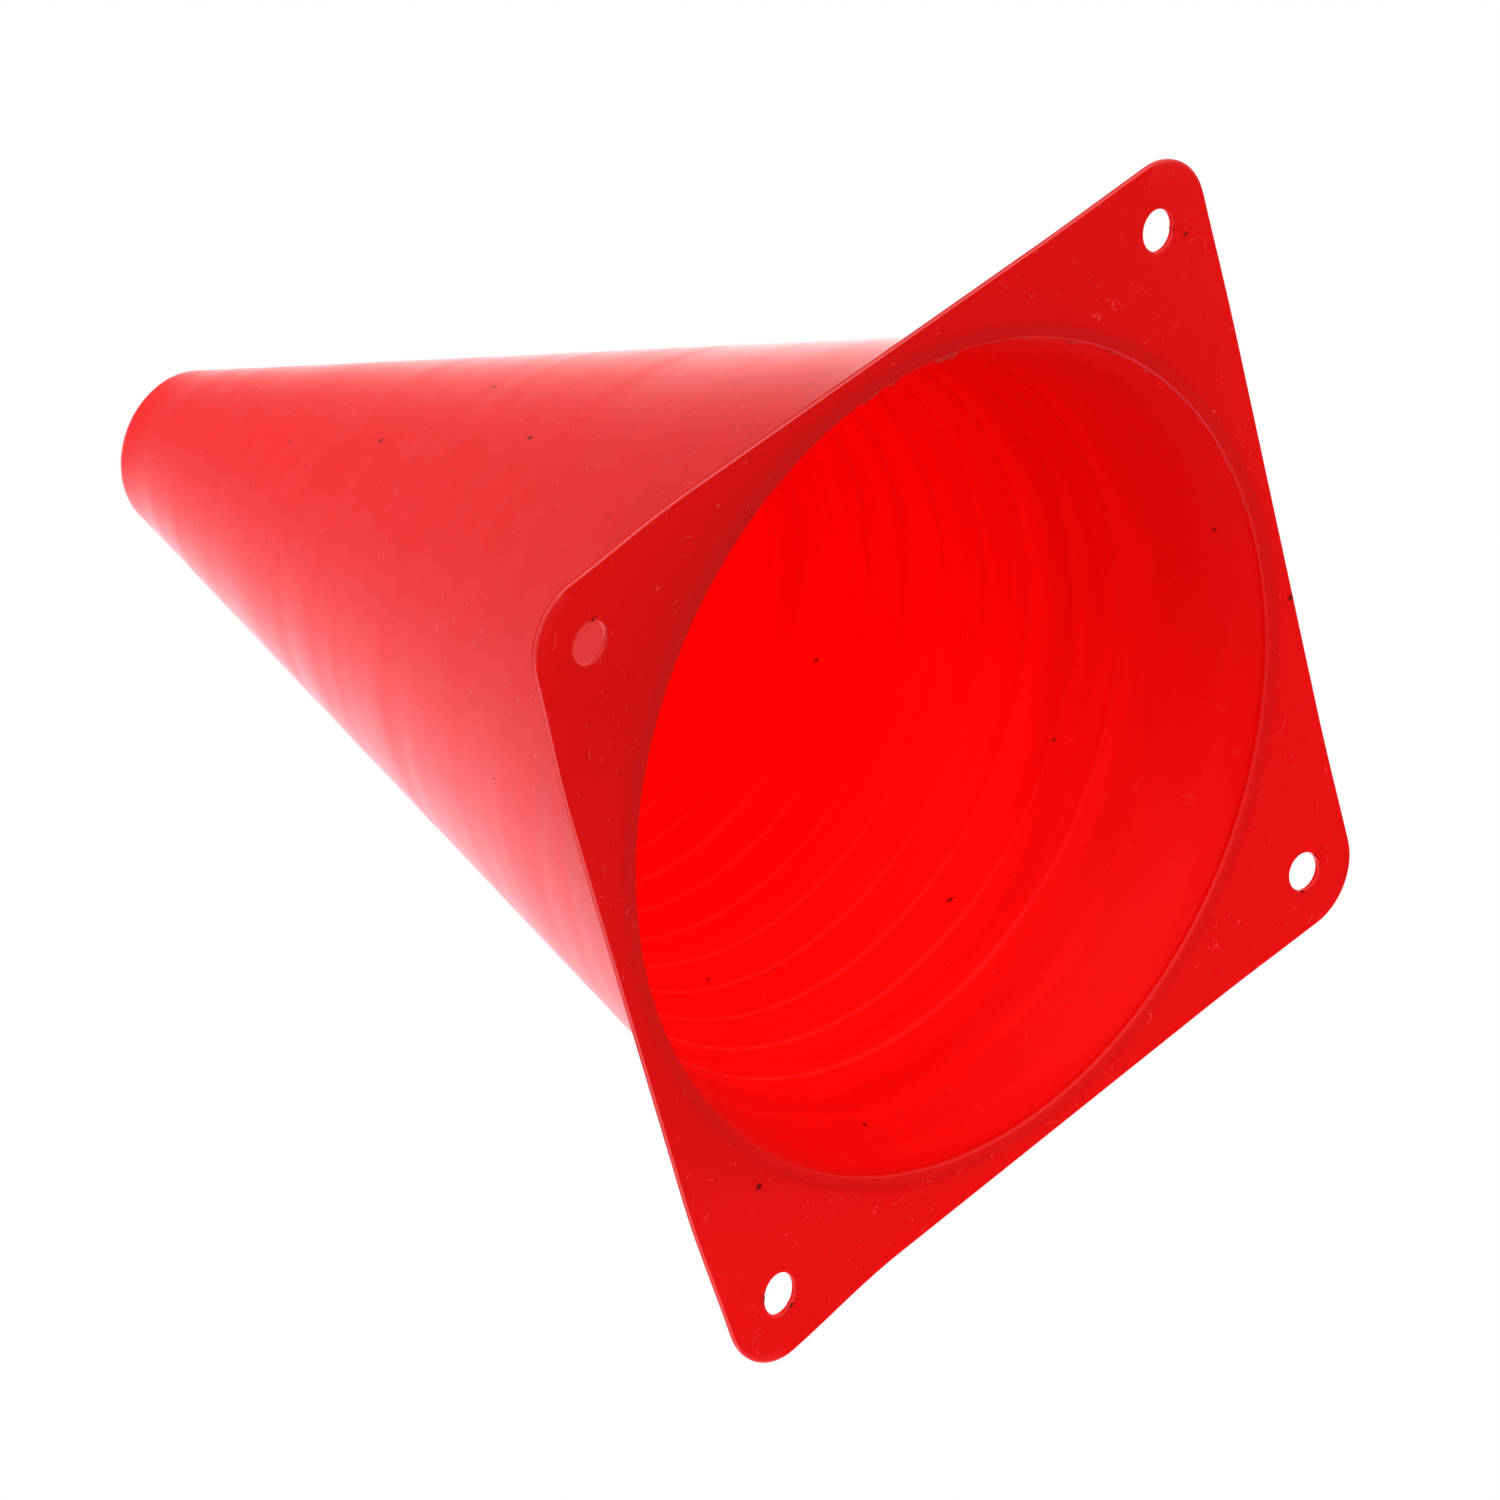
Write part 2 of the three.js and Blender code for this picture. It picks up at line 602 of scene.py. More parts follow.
class Wiring:
    """Adds nodes to a shader tree and joins them up."""

    def __init__(self, tree: bpy.types.NodeTree) -> None:
        """Takes the tree to wire."""
        self.tree = tree

    def feed(self, socket: Socket, value: object) -> None:
        """Links a socket to another one, or sets it to a plain value."""
        if isinstance(value, Socket):
            self.tree.links.new(value, socket)
        else:
            socket.default_value = value

    def add(self, kind: str, inputs: dict[str | int, object], **settings: object) -> bpy.types.Node:
        """Adds a node with its settings and feeds its inputs.

        Args:
            kind: The node's type, without the word Shader in front.
            inputs: A link or a value for each named or numbered input.
            settings: The node's own settings by name.

        Returns:
            The new node.
        """
        node = self.tree.nodes.new("ShaderNode" + kind)
        for setting, value in settings.items():
            setattr(node, setting, value)
        for socket, value in inputs.items():
            self.feed(node.inputs[socket], value)
        return node

    def maths(self, operation: str, *values: object, clamp: bool = False) -> Socket:
        """A Math node's result, from values or links in order."""
        node = self.add("Math", dict(enumerate(values)), operation=operation, use_clamp=clamp)
        return node.outputs[0]

    def times(self, first: object, second: object) -> Socket:
        """One value times another."""
        return self.maths("MULTIPLY", first, second)

    def minus(self, first: object, second: object) -> Socket:
        """One value less another."""
        return self.maths("SUBTRACT", first, second)

    def over(self, first: object, second: object) -> Socket:
        """One value divided by another."""
        return self.maths("DIVIDE", first, second)

    def ramp(self, value: object, low: float, high: float, to: Point = (0, 1)) -> Socket:
        """A value eased from one range to another."""
        inputs = {"Value": value, "From Min": low, "From Max": high}
        inputs |= {"To Min": to[0], "To Max": to[1]}
        return self.add("MapRange", inputs, interpolation_type="SMOOTHSTEP").outputs["Result"]

    def height(self, place: object) -> Socket:
        """The height part of a place."""
        return self.add("SeparateXYZ", {"Vector": place}).outputs["Z"]

    def vector(self, operation: str, first: object, second: object = (0, 0, 0)) -> Socket:
        """A Vector Math node's vector, from one or two values or links."""
        node = self.add("VectorMath", {0: first, 1: second}, operation=operation)
        return node.outputs["Vector"]

    def scaled(self, first: object, factor: object) -> Socket:
        """A vector times a number."""
        node = self.add("VectorMath", {0: first, "Scale": factor}, operation="SCALE")
        return node.outputs["Vector"]

    def length(self, first: object) -> Socket:
        """A vector's length."""
        return self.add("VectorMath", {0: first}, operation="LENGTH").outputs["Value"]

    def along(self, first: object, second: object) -> Socket:
        """How far one vector reaches along another, as their dot product."""
        node = self.add("VectorMath", {0: first, 1: second}, operation="DOT_PRODUCT")
        return node.outputs["Value"]

    def noise(self, place: object, scale: object, detail: float = 2.0) -> Socket:
        """A noise texture's value at a place."""
        inputs = {"Vector": place, "Scale": scale, "Detail": detail}
        return self.add("TexNoise", inputs).outputs["Fac"]

    def blend(self, share: object, first: object, second: object) -> Socket:
        """Two colours mixed by a share of the second."""
        node = self.add("Mix", {0: share, 6: first, 7: second}, data_type="RGBA")
        return node.outputs[2]

    def painted(self, share: object, under: object, paint: Colour) -> Socket:
        """A colour with a plain paint over a share of it."""
        return self.blend(share, under, (*paint, 1))


class Effect:
    """A shader node group with named inputs and one named output, built once and shared.

    Each input has its usual value, or None where it takes a vector.
    """

    name = "effect"
    inputs: dict[str, float | None] = {}
    output = "Mask"
    output_kind = SocketKind.VALUE

    def group(self) -> bpy.types.NodeTree:
        """Finds the group, or builds it with its sockets.

        Returns:
            The node group.
        """
        tree = bpy.data.node_groups.get(self.name)
        if tree is not None:
            return tree
        tree = bpy.data.node_groups.new(self.name, "ShaderNodeTree")
        for socket, value in self.inputs.items():
            kind = SocketKind.VECTOR if value is None else SocketKind.VALUE
            made = tree.interface.new_socket(name=socket, in_out="INPUT", socket_type=kind.value)
            if value is not None:
                made.default_value = value
        tree.interface.new_socket(
            name=self.output, in_out="OUTPUT", socket_type=self.output_kind.value
        )
        wiring = Wiring(tree)
        given = tree.nodes.new("NodeGroupInput").outputs
        leaving = tree.nodes.new("NodeGroupOutput").inputs
        wiring.feed(leaving[self.output], self.wire(wiring, given))
        return tree

    def wire(self, wiring: Wiring, given: Given) -> Socket:
        """Wires the inside of the group.

        Args:
            wiring: The group's wiring.
            given: The group's inputs.

        Returns:
            The socket that leaves the group.
        """
        raise NotImplementedError

    def place(self, wiring: Wiring, **values: object) -> Socket:
        """Places the group in a material with its own values.

        Args:
            wiring: The material's wiring.
            values: A link or value for each input, by its name in small letters.

        Returns:
            The group's output.
        """
        node = wiring.tree.nodes.new("ShaderNodeGroup")
        node.node_tree = self.group()
        for name, value in values.items():
            wiring.feed(node.inputs[name.capitalize()], value)
        return node.outputs[self.output]


class Unrolled(Effect):
    """A place on the tapered wall, rolled out flat: distance round the axis and height."""

    name = "unrolled_place"
    inputs = {"Place": None}
    output = "Flat"
    output_kind = SocketKind.VECTOR

    def wire(self, wiring: Wiring, given: Given) -> Socket:
        """The angle round the axis times the radius there, then the height."""
        parts = wiring.add("SeparateXYZ", {"Vector": given["Place"]}).outputs
        level = wiring.add("CombineXYZ", {"X": parts["X"], "Y": parts["Y"]}).outputs[0]
        angle = wiring.maths("ARCTAN2", parts["Y"], parts["X"])
        across = wiring.times(angle, wiring.length(level))
        return wiring.add("CombineXYZ", {"X": across, "Y": parts["Z"]}).outputs[0]


class OuterSide(Effect):
    """Tells the outer side of the tapered wall from its inner side."""

    name = "outer_side"
    inputs = {"Place": None, "Normal": None}

    def wire(self, wiring: Wiring, given: Given) -> Socket:
        """One where the surface faces away from the axis, and nought where it faces it."""
        level = wiring.vector("MULTIPLY", given["Place"], LEVEL)
        away = wiring.vector("NORMALIZE", level)
        return wiring.maths("GREATER_THAN", wiring.along(away, given["Normal"]), 0.0)


class Specks(Effect):
    """Scattered small specks of uneven shape."""

    WOBBLE_SCALE = 1.7
    WOBBLE_REACH = 0.9
    SIZE_SPREAD = 1.1
    LEAST_SIZE = 0.35

    name = "scattered_specks"
    inputs = {"Place": None, "Spacing": 10.0, "Radius": 0.3, "Share": 0.5}

    def wire(self, wiring: Wiring, given: Given) -> Socket:
        """One speck near the middle of some of the cells of a cell pattern."""
        shape = {"Vector": given["Place"], "Scale": self.WOBBLE_SCALE, "Detail": 2.0}
        wobble = wiring.add("TexNoise", shape, noise_dimensions="2D")
        stray = wiring.scaled(wobble.outputs["Color"], self.WOBBLE_REACH)
        place = wiring.vector("ADD", given["Place"], stray)
        per_mm = wiring.over(1.0, given["Spacing"])
        cell = {"Vector": place, "Scale": per_mm}
        cells = wiring.add("TexVoronoi", cell, voronoi_dimensions="2D")
        chance, girth, _ = wiring.add("SeparateColor", {"Color": cells.outputs["Color"]}).outputs
        chosen = wiring.maths("LESS_THAN", chance, given["Share"])
        size = wiring.maths("MULTIPLY_ADD", girth, self.SIZE_SPREAD, self.LEAST_SIZE)
        reach = wiring.times(wiring.times(given["Radius"], per_mm), size)
        depth = wiring.over(cells.outputs["Distance"], reach)
        return wiring.times(wiring.ramp(depth, 1.2, 0.6), chosen)


class HairLines(Effect):
    """Short curved scuffs and hair lines."""

    OTHER_PLACE = (31.0, 17.0, 53.0)
    BREAK_SCALE = 1.6
    BREAK_SHARPNESS = 12.0

    name = "hair_lines"
    inputs = {"Place": None, "Spacing": 10.0, "Width": 0.1, "Share": 0.3}

    def wire(self, wiring: Wiring, given: Given) -> Socket:
        """The middle contour of a smooth noise, kept only where a second noise is high."""
        per_mm = wiring.over(1.0, given["Spacing"])
        first = wiring.noise(given["Place"], per_mm, 1.0)
        away = wiring.maths("ABSOLUTE", wiring.minus(first, 0.5))
        slope = wiring.times(given["Width"], per_mm)
        line = wiring.ramp(wiring.over(away, slope), 1.0, 0.3)
        shifted = wiring.vector("ADD", given["Place"], self.OTHER_PLACE)
        second = wiring.noise(shifted, wiring.times(per_mm, self.BREAK_SCALE), 1.0)
        limit = wiring.minus(1.0, given["Share"])
        over = wiring.minus(second, limit)
        kept = wiring.maths("MULTIPLY", over, self.BREAK_SHARPNESS, clamp=True)
        return wiring.times(line, kept)


class RingLines(Effect):
    """The lines of the fine rings turned into the core of the mould, by height."""

    name = "ring_lines"
    inputs = {"Place": None, "First": 26.0, "Pitch": 8.3, "Closing": 0.15, "Width": 0.8}

    def wire(self, wiring: Wiring, given: Given) -> Socket:
        """Counts the rings up to a height, and marks where the count is whole."""
        rise = wiring.minus(wiring.height(given["Place"]), given["First"])
        four = wiring.times(wiring.times(rise, given["Closing"]), 4.0)
        square = wiring.times(given["Pitch"], given["Pitch"])
        left = wiring.maths("MAXIMUM", wiring.minus(square, four), 0.0)
        twice = wiring.times(given["Closing"], 2.0)
        fall = wiring.minus(given["Pitch"], wiring.maths("SQRT", left))
        count = wiring.over(fall, twice)
        off = wiring.maths("ABSOLUTE", wiring.minus(count, wiring.maths("ROUND", count)))
        reach = wiring.over(wiring.times(off, given["Pitch"]), given["Width"])
        above = wiring.maths("GREATER_THAN", count, -0.5)
        return wiring.times(wiring.ramp(reach, 0.9, 0.2), above)


class PlateEdgeHighlight(Effect):
    """Painted highlight: the two fine lines where light catches the broken edges of the square
    plate.
    """

    name = "painted_plate_edge_highlight"
    inputs = {
        "Place": None,
        "Normal": None,
        "Half": 70.0,
        "Corner": 10.0,
        "Hole": 3.2,
        "Pitch": 59.5,
        "Width": 0.6,
    }

    def wire(self, wiring: Wiring, given: Given) -> Socket:
        """Sloping faces that are close to the rounded outline or to a peg hole's rim."""
        folded = wiring.vector("ABSOLUTE", given["Place"])
        straight = wiring.minus(given["Half"], given["Corner"])
        inner = wiring.add("CombineXYZ", {"X": straight, "Y": straight}).outputs[0]
        past = wiring.vector("MAXIMUM", wiring.vector("SUBTRACT", folded, inner))
        out = wiring.length(wiring.vector("MULTIPLY", past, LEVEL))
        gap = wiring.minus(given["Corner"], out)
        outline = wiring.ramp(wiring.over(gap, given["Width"]), 1.0, 0.4)

        peg = wiring.add("CombineXYZ", {"X": given["Pitch"], "Y": given["Pitch"]}).outputs[0]
        off = wiring.vector("SUBTRACT", folded, peg)
        reach = wiring.length(wiring.vector("MULTIPLY", off, LEVEL))
        rim = wiring.minus(reach, given["Hole"])
        hole = wiring.ramp(wiring.over(rim, given["Width"]), 1.3, 0.6)

        upright = wiring.height(given["Normal"])
        square = wiring.times(upright, upright)
        slope = wiring.times(square, wiring.minus(1.0, square))
        sloping = wiring.maths("MULTIPLY", slope, 4.0, clamp=True)
        return wiring.times(wiring.maths("MAXIMUM", outline, hole), sloping)


class LipFlashGlow(Effect):
    """The thin torn flash round the mouth, painted paler than the wall: a painted glow where light
    from behind shines through the thin flash.
    """

    EDGE_SHARPNESS = 12.0

    name = "painted_lip_flash_glow"
    inputs = {"Place": None, "Radius": 65.0, "Top": 0.8, "Toward": None}

    def wire(self, wiring: Wiring, given: Given) -> Socket:
        """Places inside the mouth's radius and below the flange's top, more or less broken up."""
        level = wiring.vector("MULTIPLY", given["Place"], LEVEL)
        reach = wiring.minus(given["Radius"], wiring.length(level))
        inside = wiring.maths("MULTIPLY", reach, self.EDGE_SHARPNESS, clamp=True)
        below = wiring.maths("LESS_THAN", wiring.height(given["Place"]), given["Top"])
        patches = wiring.ramp(wiring.noise(given["Place"], 0.5), 0.36, 0.5)
        away = wiring.vector("NORMALIZE", level)
        sector = wiring.ramp(wiring.along(away, given["Toward"]), 0.6, 0.75)
        return wiring.times(wiring.times(inside, below), wiring.times(patches, sector))


class MouldBands(Effect):
    """Faint bands that run round the axis, as the mould was turned and the melt flowed."""

    DRAWN_OUT = (0.05, 0.05, 1.0)
    FINER = 9.0
    FINE_SHARE = 0.3

    name = "mould_bands"
    inputs = {"Place": None, "Pitch": 6.0}
    output = "Value"

    def wire(self, wiring: Wiring, given: Given) -> Socket:
        """Noise drawn out round the axis, with a finer set of bands on top."""
        flat = wiring.vector("MULTIPLY", given["Place"], self.DRAWN_OUT)
        per_mm = wiring.over(1.0, given["Pitch"])
        broad = wiring.times(wiring.noise(flat, per_mm), 1 - self.FINE_SHARE)
        fine = wiring.noise(flat, wiring.times(per_mm, self.FINER))
        return wiring.maths("MULTIPLY_ADD", fine, self.FINE_SHARE, broad)


class MouldGrain(Effect):
    """The slight orange peel of a moulded skin."""

    BROADER = 0.12
    BROAD_HEIGHT = 2.0

    name = "mould_grain"
    inputs = {"Place": None, "Size": 1.0}
    output = "Value"

    def wire(self, wiring: Wiring, given: Given) -> Socket:
        """Two sizes of soft noise."""
        per_mm = wiring.over(1.0, given["Size"])
        fine = wiring.noise(given["Place"], per_mm, 3.0)
        broad = wiring.noise(given["Place"], wiring.times(per_mm, self.BROADER))
        return wiring.maths("MULTIPLY_ADD", broad, self.BROAD_HEIGHT, fine)


@dataclass(frozen=True)
class Polyethylene:
    """Thin red polyethylene as it leaves the mould, with some dust and scuffs, and painted light
    and shade in its colour.
    """

    name: str
    # foot is the red with painted shade, near the flange and inside the mouth; top is the red
    # without it.
    foot: Colour
    top: Colour
    sheen_roughness: float
    gloss: float = 1.0
    # Strength of the painted highlight on the plate's edges, or of the painted glow on the lip
    # flash.
    edge: float = 0.9
    translucency: float = 0.6
    dust: float = 0.14
    scuffs: float = 0.39
    inner_wear: float = 0.25
    # Painted sheen on the outer wall: its strength and the heights where it fades in.
    painted_sheen: float = 0.0
    painted_sheen_heights: Point = (8.0, 50.0)
    mark_cover: float = 0.75
    speck_cover: float = 0.85
    bands: float = 1.0
    band_middle: float = 0.55
    band_shade: float = 2.4
    # Painted shade: how much lighter the outer face is than the inner face, and the height where
    # the painted shade near the foot ends.
    outer_lift: float = 0.5
    painted_foot_shade_height: float = 60.0
    # Strengths of the painted highlight and the painted shade on the ring lines.
    painted_ring_highlight: float = 0.12
    painted_ring_shade: float = 0.06
    grain: float = 0.16
    mark_height: float = 0.5
    bump: float = 0.25
    bump_depth: float = 0.1 * MM
    band_roughness: float = 0.3
    mark_roughness: float = 0.2
    refraction: float = 1.5
    flat: bool = False
    torn_side: Direction = (0.77, 0.64, 0.0)
    pale: Colour = (1.0, 0.22, 0.22)
    dark: Colour = (0.10, 0.002, 0.002)

    def surface(self, wiring: Wiring, place: Socket) -> Socket:
        """The place as two distances along the piece's surface."""
        return place if self.flat else Unrolled().place(wiring, place=place)

    def outer(self, wiring: Wiring, place: Socket) -> Socket:
        """One on the outer side of the wall, and nought on its inner side."""
        normal = wiring.add("TexCoord", {}).outputs["Normal"]
        return OuterSide().place(wiring, place=place, normal=normal)

    def marks_and_sheen(self, wiring: Wiring, place: Socket) -> Socket:
        """The pale dust, lint and hair lines, and on the outer wall a painted sheen.

        Args:
            wiring: The material's wiring.
            place: Object coordinates in millimetres.

        Returns:
            How much of the surface the dust, lines and painted sheen cover.
        """
        surface = self.surface(wiring, place)
        dust = Specks().place(wiring, place=surface, spacing=5.0, radius=0.2, share=self.dust)
        lint = HairLines().place(wiring, place=place, spacing=9.0, width=0.045, share=self.scuffs)
        fewer = self.scuffs * 0.93
        hair = HairLines().place(wiring, place=place, spacing=2.6, width=0.06, share=fewer)
        lines = wiring.times(wiring.maths("MAXIMUM", lint, hair), 0.6)
        both = wiring.maths("MAXIMUM", wiring.times(dust, 0.7), lines)
        if self.flat:
            return both
        outer = self.outer(wiring, place)
        worn = wiring.times(both, wiring.ramp(outer, 0.0, 1.0, to=(self.inner_wear, 1.0)))
        # Painted sheen: pale streaks on the outer face that stand in for its gloss.
        painted_sheen_mask = wiring.times(self.painted_sheen_film(wiring, place), outer)
        return wiring.maths("MAXIMUM", worn, painted_sheen_mask)

    def painted_sheen_film(self, wiring: Wiring, place: Socket) -> Socket:
        """Painted sheen: uneven pale streaks on the outer wall in place of its gloss, which fade
        out towards the foot.

        Args:
            wiring: The material's wiring.
            place: Object coordinates in millimetres.

        Returns:
            How much of the surface the film covers.
        """
        streaks = wiring.ramp(wiring.noise(place, 0.16, 5.0), 0.42, 0.68)
        thick = wiring.ramp(wiring.height(place), *self.painted_sheen_heights, to=(0.0, self.painted_sheen))
        return wiring.times(wiring.maths("MULTIPLY_ADD", streaks, 0.7, 0.3), thick)

    def edges(self, wiring: Wiring, place: Socket) -> Socket:
        """The painted light on the edges: a painted highlight on the outline and holes of the
        plate, or a painted glow on the flash in the mouth.

        Args:
            wiring: The material's wiring.
            place: Object coordinates in millimetres.

        Returns:
            How pale each place is.
        """
        if self.flat:
            normal = wiring.add("TexCoord", {}).outputs["Normal"]
            edges = PlateEdgeHighlight().place(wiring, place=place, normal=normal)
        else:
            # Painted glow on the torn flash in the mouth.
            edges = LipFlashGlow().place(wiring, place=place, toward=self.torn_side)
        return wiring.times(edges, self.edge)

    def colour(self, wiring: Wiring, place: Socket, marks_and_sheen: Socket, bands: Socket) -> Socket:
        """The skin's colour: painted shade deeper at the foot and on the inner face, painted light,
        pale dust and scuffs, and dark inclusions.

        Args:
            wiring: The material's wiring.
            place: Object coordinates in millimetres.
            marks_and_sheen: How much the pale dust, lines and painted sheen cover.
            bands: The faint bands round the wall.

        Returns:
            The colour.
        """
        # Painted shade: the darker foot red near the flange and on the inner face, fading out up
        # the cone; the mould bands add streaks.
        streaks = wiring.times(wiring.minus(bands, self.band_middle), self.band_shade)
        outer = self.outer(wiring, place)
        climb = wiring.ramp(wiring.height(place), 0.0, self.painted_foot_shade_height)
        shade = wiring.maths("MULTIPLY_ADD", outer, self.outer_lift, climb)
        shade_and_band_share = wiring.maths("ADD", shade, streaks, clamp=True)
        skin = wiring.painted(shade_and_band_share, (*self.foot, 1), self.top)
        if not self.flat:
            skin = self.with_painted_ring_light(wiring, place, skin, wiring.minus(1.0, outer))
        # Pale paint over the dust, lint and hair lines, and the painted sheen on the outer wall.
        dusty_and_sheened = wiring.painted(wiring.times(marks_and_sheen, self.mark_cover), skin, self.pale)
        surface = self.surface(wiring, place)
        burnt = Specks().place(wiring, place=surface, spacing=14.0, radius=0.35, share=0.16)
        stained = wiring.painted(wiring.times(burnt, self.speck_cover), dusty_and_sheened, self.dark)
        # Painted highlight on the plate's edges, or painted glow on the lip flash.
        return wiring.painted(self.edges(wiring, place), stained, self.pale)

    def with_painted_ring_light(self, wiring: Wiring, place: Socket, skin: Socket, inner: Socket) -> Socket:
        """The skin with the lines of the rings, with a painted highlight on one side of the cone
        and painted shade on the other.

        Args:
            wiring: The material's wiring.
            place: Object coordinates in millimetres.
            skin: The colour under the lines.
            inner: One on the inner side of the wall, and nought on its outer side.

        Returns:
            The colour.
        """
        parts = wiring.add("SeparateXYZ", {"Vector": place}).outputs
        across = wiring.maths("ADD", parts["X"], parts["Y"])
        line = wiring.times(RingLines().place(wiring, place=place), inner)
        # Painted highlight on the rings where x + y is below nought, painted shade where it is
        # above.
        lit = wiring.ramp(across, -5.0, -45.0, to=(0.0, self.painted_ring_highlight))
        shaded = wiring.ramp(across, 0.0, 50.0, to=(0.0, self.painted_ring_shade))
        skin = wiring.painted(wiring.times(line, lit), skin, self.pale)
        return wiring.painted(wiring.times(line, shaded), skin, self.dark)

    def make(self) -> bpy.types.Material:
        """Builds the material.

        Returns:
            The material, ready for a piece.
        """
        material = bpy.data.materials.new(self.name)
        material.use_nodes = True
        tree = material.node_tree
        wiring = Wiring(tree)
        where = wiring.add("TexCoord", {}).outputs["Object"]
        place = wiring.scaled(where, 1 / MM)
        marks_and_sheen = self.marks_and_sheen(wiring, place)
        bands = MouldBands().place(wiring, place=place, pitch=7.0)
        colour = self.colour(wiring, place, marks_and_sheen, bands)
        grain = MouldGrain().place(wiring, place=place, size=0.8)

        height = wiring.maths("MULTIPLY_ADD", bands, self.bands, wiring.times(grain, self.grain))
        height = wiring.maths("MULTIPLY_ADD", marks_and_sheen, self.mark_height, height)
        relief = {"Strength": self.bump, "Distance": self.bump_depth, "Height": height}
        bump = wiring.add("Bump", relief)
        even = self.sheen_roughness - self.band_roughness / 2
        rough = wiring.maths("MULTIPLY_ADD", bands, self.band_roughness, even)
        rough = wiring.maths("MULTIPLY_ADD", marks_and_sheen, self.mark_roughness, rough)

        shader = tree.nodes["Principled BSDF"]
        shader.inputs["IOR"].default_value = self.refraction
        shader.inputs["Specular IOR Level"].default_value = self.gloss
        wiring.feed(shader.inputs["Base Color"], colour)
        wiring.feed(shader.inputs["Roughness"], rough)
        wiring.feed(shader.inputs["Normal"], bump.outputs["Normal"])
        through = wiring.add("BsdfTranslucent", {"Color": colour})
        facing = wiring.add("LayerWeight", {"Blend": 0.5}).outputs["Facing"]
        grazing = wiring.maths("POWER", facing, 5.0)
        share = wiring.maths("MULTIPLY_ADD", grazing, -self.translucency, self.translucency)
        wall = wiring.add("MixShader", {0: share, 1: shader.outputs[0], 2: through.outputs[0]})
        wiring.feed(tree.nodes["Material Output"].inputs["Surface"], wall.outputs[0])
        return material


# The shell's foot red is its painted shade near the flange and inside the mouth.
RED_SHELL = Polyethylene(
    name="red_shell",
    foot=(0.855, 0.003, 0.002),
    top=(1.0, 0.0075, 0.0035),
    sheen_roughness=0.4,
    gloss=0.8,
    edge=0.3,
    # Painted sheen on the outer wall.
    painted_sheen=0.12,
)
RED_FLANGE = Polyethylene(
    name="red_flange",
    foot=(0.88, 0.002, 0.001),
    top=(0.88, 0.002, 0.001),
    sheen_roughness=0.42,
    gloss=0.6,
    bands=0.0,
    dust=0.06,
    flat=True,
)


# ---------------------------------------------------------------------------------------------
# Studio
# ---------------------------------------------------------------------------------------------


@dataclass(frozen=True)
class Viewpoint:
    """Where the camera stands: below and beside the flange, looking up into the mouth."""

    look_at: Vector
    azimuth: float
    elevation: float
    roll: float
    distance: float
    lens: float

    def axes(self) -> tuple[Vector, Vector, Vector]:
        """The camera's right, up and backward directions in the row's frame."""
        turn = math.radians(self.azimuth)
        tilt = math.radians(self.elevation)
        lean = math.radians(self.roll)
        back = Vector(
            (math.sin(turn) * math.cos(tilt), -math.cos(turn) * math.cos(tilt), math.sin(tilt))
        )
        level = (-back).cross(Vector((0, 0, 1))).normalized()
        upright = level.cross(-back)
        up = upright * math.cos(lean) + level * math.sin(lean)
        return (-back).cross(up), up, back

    def make(self) -> None:
        """Adds the camera and makes it the scene's."""
        right, up, back = self.axes()
        camera = bpy.data.objects.new("viewpoint", bpy.data.cameras.new("viewpoint"))
        bpy.context.scene.collection.objects.link(camera)
        camera.data.lens = self.lens
        camera.data.sensor_width = SENSOR_WIDTH
        camera.data.clip_start = 0.01
        camera.data.clip_end = 50.0
        turned = Matrix((right, up, back)).transposed().to_4x4()
        camera.matrix_world = Matrix.Translation(self.look_at + back * self.distance) @ turned
        bpy.context.scene.camera = camera


@dataclass(frozen=True)
class SoftLight:
    """A broad soft light far off: its place, from the line of sight, and how it fades."""

    off_axis: float
    around: float
    tightness: float
    strength: float
    tint: Colour = (1.0, 1.0, 1.0)

    def direction(self, view: Viewpoint) -> Vector:
        """Which way the light lies, in the row's frame.

        Args:
            view: The view that the lights were set up for.

        Returns:
            A unit vector towards the light.
        """
        right, up, back = view.axes()
        lean = math.radians(self.off_axis)
        turn = math.radians(self.around)
        aside = right * math.cos(turn) + up * math.sin(turn)
        return aside * math.sin(lean) - back * math.cos(lean)


@dataclass(frozen=True)
class WhiteRoom:
    """A white room: plain white where it is seen, and lit mostly from behind the cone."""

    view: Viewpoint
    lights: tuple[SoftLight, ...] = (
        SoftLight(28, 60, 18, 6.1),
        SoftLight(28, 120, 18, 0.7),
        SoftLight(28, 180, 18, 4.9, COOL_WHITE),
        SoftLight(52, 270, 12, 5.2, COOL_WHITE),
        SoftLight(82, 180, 8, 0.35),
        SoftLight(82, 240, 8, 2.6, COOL_WHITE),
        SoftLight(115, 30, 5, 1.1),
        SoftLight(115, 120, 5, 1.8),
        SoftLight(180, 0, 3, 0.85),
    )

    def make(self) -> None:
        """Builds the world that lights the cone."""
        world = bpy.data.worlds.new("white_room")
        bpy.context.scene.world = world
        world.use_nodes = True
        world.node_tree.nodes.clear()
        wiring = Wiring(world.node_tree)
        way = wiring.add("TexCoord", {}).outputs["Generated"]
        total: object = (0, 0, 0)
        for light in self.lights:
            facing = wiring.along(way, light.direction(self.view))
            fall = wiring.maths("MULTIPLY_ADD", facing, light.tightness, -light.tightness)
            level = wiring.times(wiring.maths("EXPONENT", fall), light.strength)
            total = wiring.vector("ADD", total, wiring.scaled(light.tint, level))
        lit = wiring.add("Background", {"Color": total, "Strength": 1.0})
        seen = wiring.add("Background", {"Color": (1, 1, 1, 1)})
        path = wiring.add("LightPath", {}).outputs["Is Camera Ray"]
        room = wiring.add("MixShader", {0: path, 1: lit.outputs[0], 2: seen.outputs[0]})
        wiring.add("OutputWorld", {"Surface": room.outputs[0]})


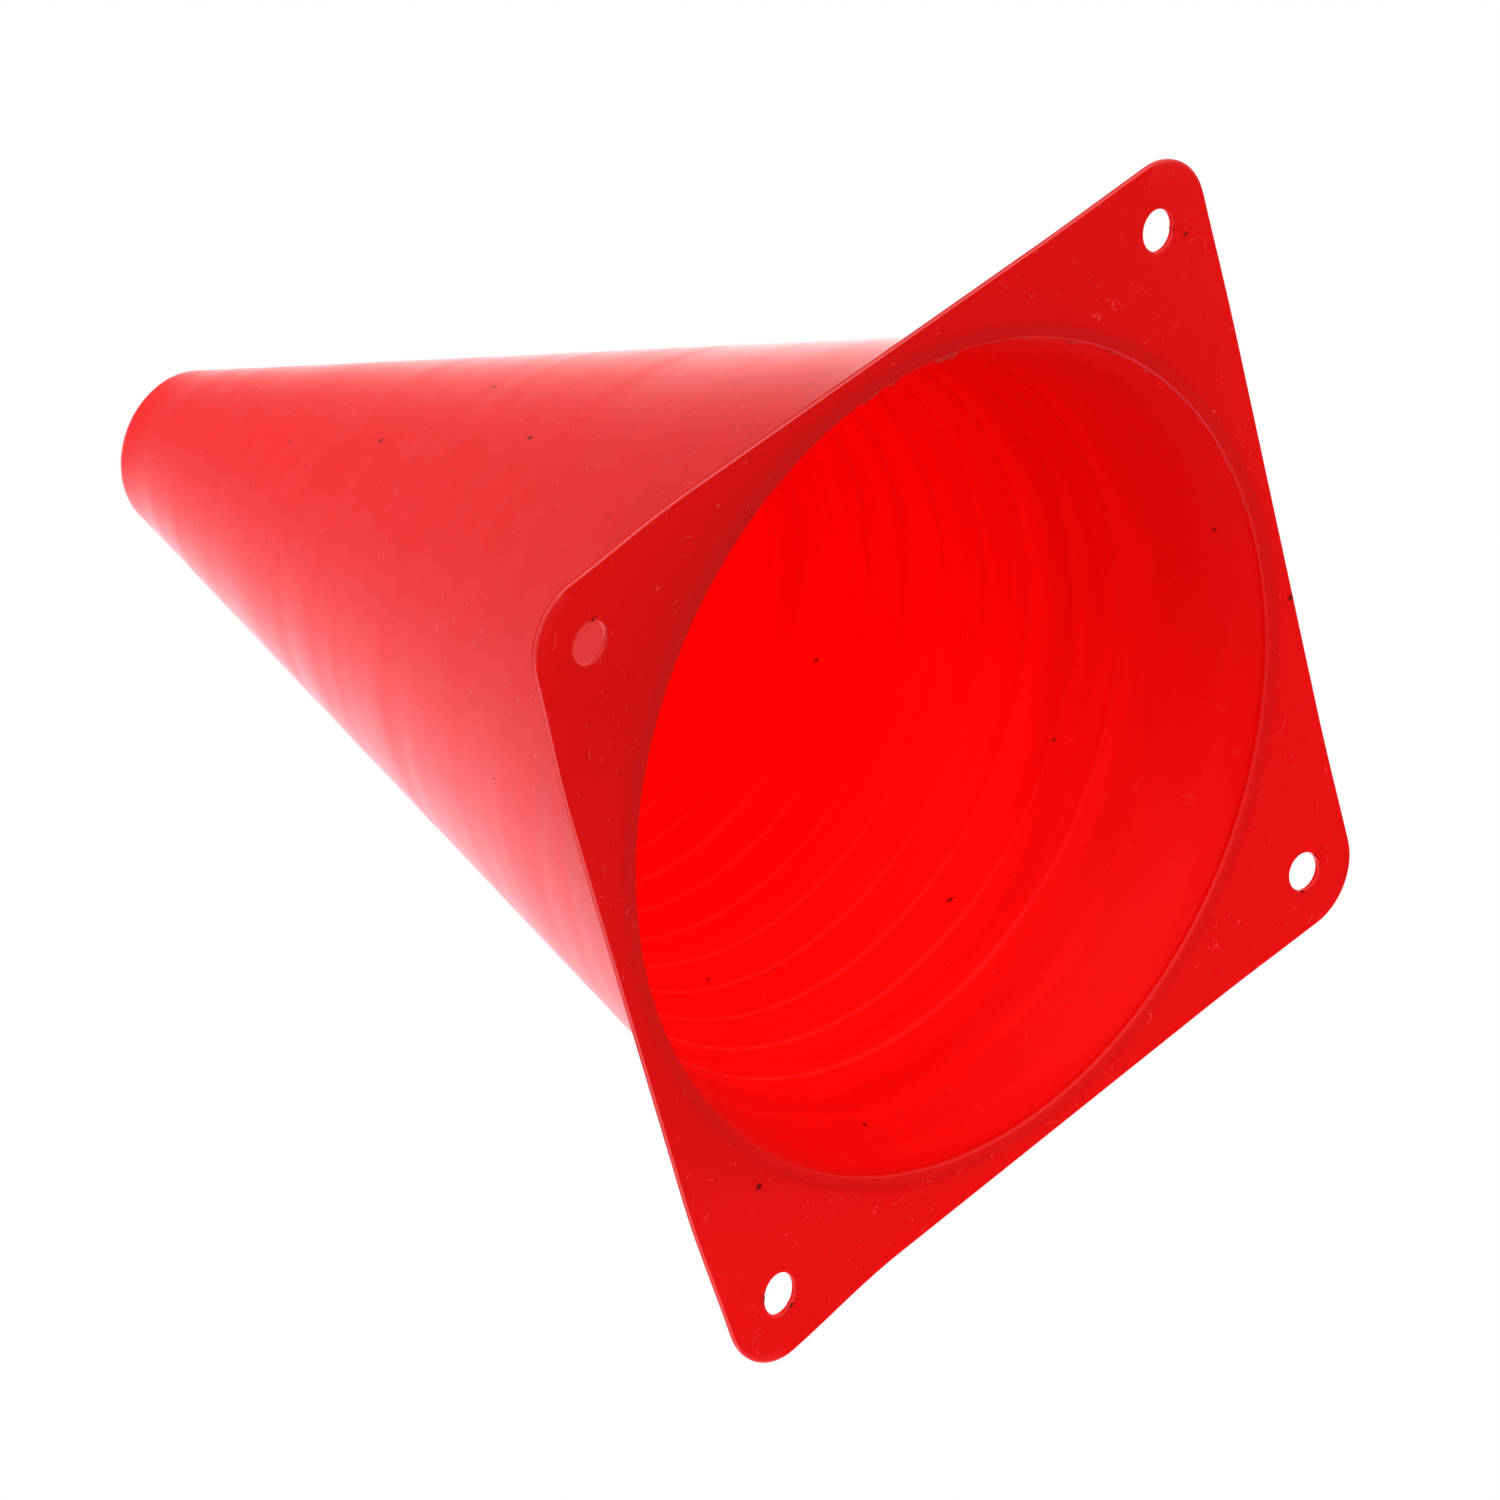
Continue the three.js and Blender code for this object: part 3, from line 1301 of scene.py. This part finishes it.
def make_floor(height: float) -> None:
    """A pale floor that is seen from above and lets the camera look through it from below."""
    bpy.ops.object.select_all(action="DESELECT")
    bpy.ops.mesh.primitive_plane_add(size=FLOOR_SIZE, location=(0, 0, height))
    bpy.ops.object.transform_apply(location=True, rotation=True, scale=True)
    floor = bpy.context.object
    floor.name = "studio_floor"
    floor.visible_diffuse = False
    floor.visible_glossy = False
    floor.visible_transmission = False
    floor.visible_shadow = False
    material = bpy.data.materials.new("pale_floor")
    material.use_nodes = True
    tree = material.node_tree
    shader = tree.nodes["Principled BSDF"]
    shader.inputs["Base Color"].default_value = FLOOR_WHITE
    shader.inputs["Roughness"].default_value = 0.9
    clear = tree.nodes.new("ShaderNodeBsdfTransparent")
    side = tree.nodes.new("ShaderNodeNewGeometry")
    choose = tree.nodes.new("ShaderNodeMixShader")
    tree.links.new(side.outputs["Backfacing"], choose.inputs["Fac"])
    tree.links.new(shader.outputs["BSDF"], choose.inputs[1])
    tree.links.new(clear.outputs["BSDF"], choose.inputs[2])
    tree.links.new(choose.outputs["Shader"], tree.nodes["Material Output"].inputs["Surface"])
    floor.data.materials.append(material)
    floor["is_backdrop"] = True


# ---------------------------------------------------------------------------------------------
# Setting the pieces in the frame
# ---------------------------------------------------------------------------------------------


def place(piece: bpy.types.Object, node: CadNode, slot: Slot, finish: Polyethylene) -> None:
    """Dresses a piece and sets it in the frame in place of its CAD node."""
    piece.data.materials.clear()
    piece.data.materials.append(finish.make())
    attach(piece, BODY)
    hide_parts(node.value)


def main() -> None:
    """Builds the studio and the cone."""
    logging.basicConfig(level=logging.INFO, format="%(name)s: %(message)s")
    view = Viewpoint(
        look_at=Vector((-27.1, 9.9, 67.5)) * MM,
        azimuth=48.58,
        elevation=-43.50,
        roll=67.53,
        distance=1.0154,
        lens=152.8,
    )
    view.make()
    WhiteRoom(view).make()
    bpy.context.scene.view_settings.view_transform = "Standard"

    moulding = Moulding.from_frame()
    shell = TaperedShell(moulding).build()
    place(shell, CadNode.SHELL, Slot.SHELL, RED_SHELL)
    flange = BaseFlange(moulding).build()
    place(flange, CadNode.FLANGE, Slot.FLANGE, RED_FLANGE)
    make_floor(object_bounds()[0].z)


if __name__ == "__main__":
    main()
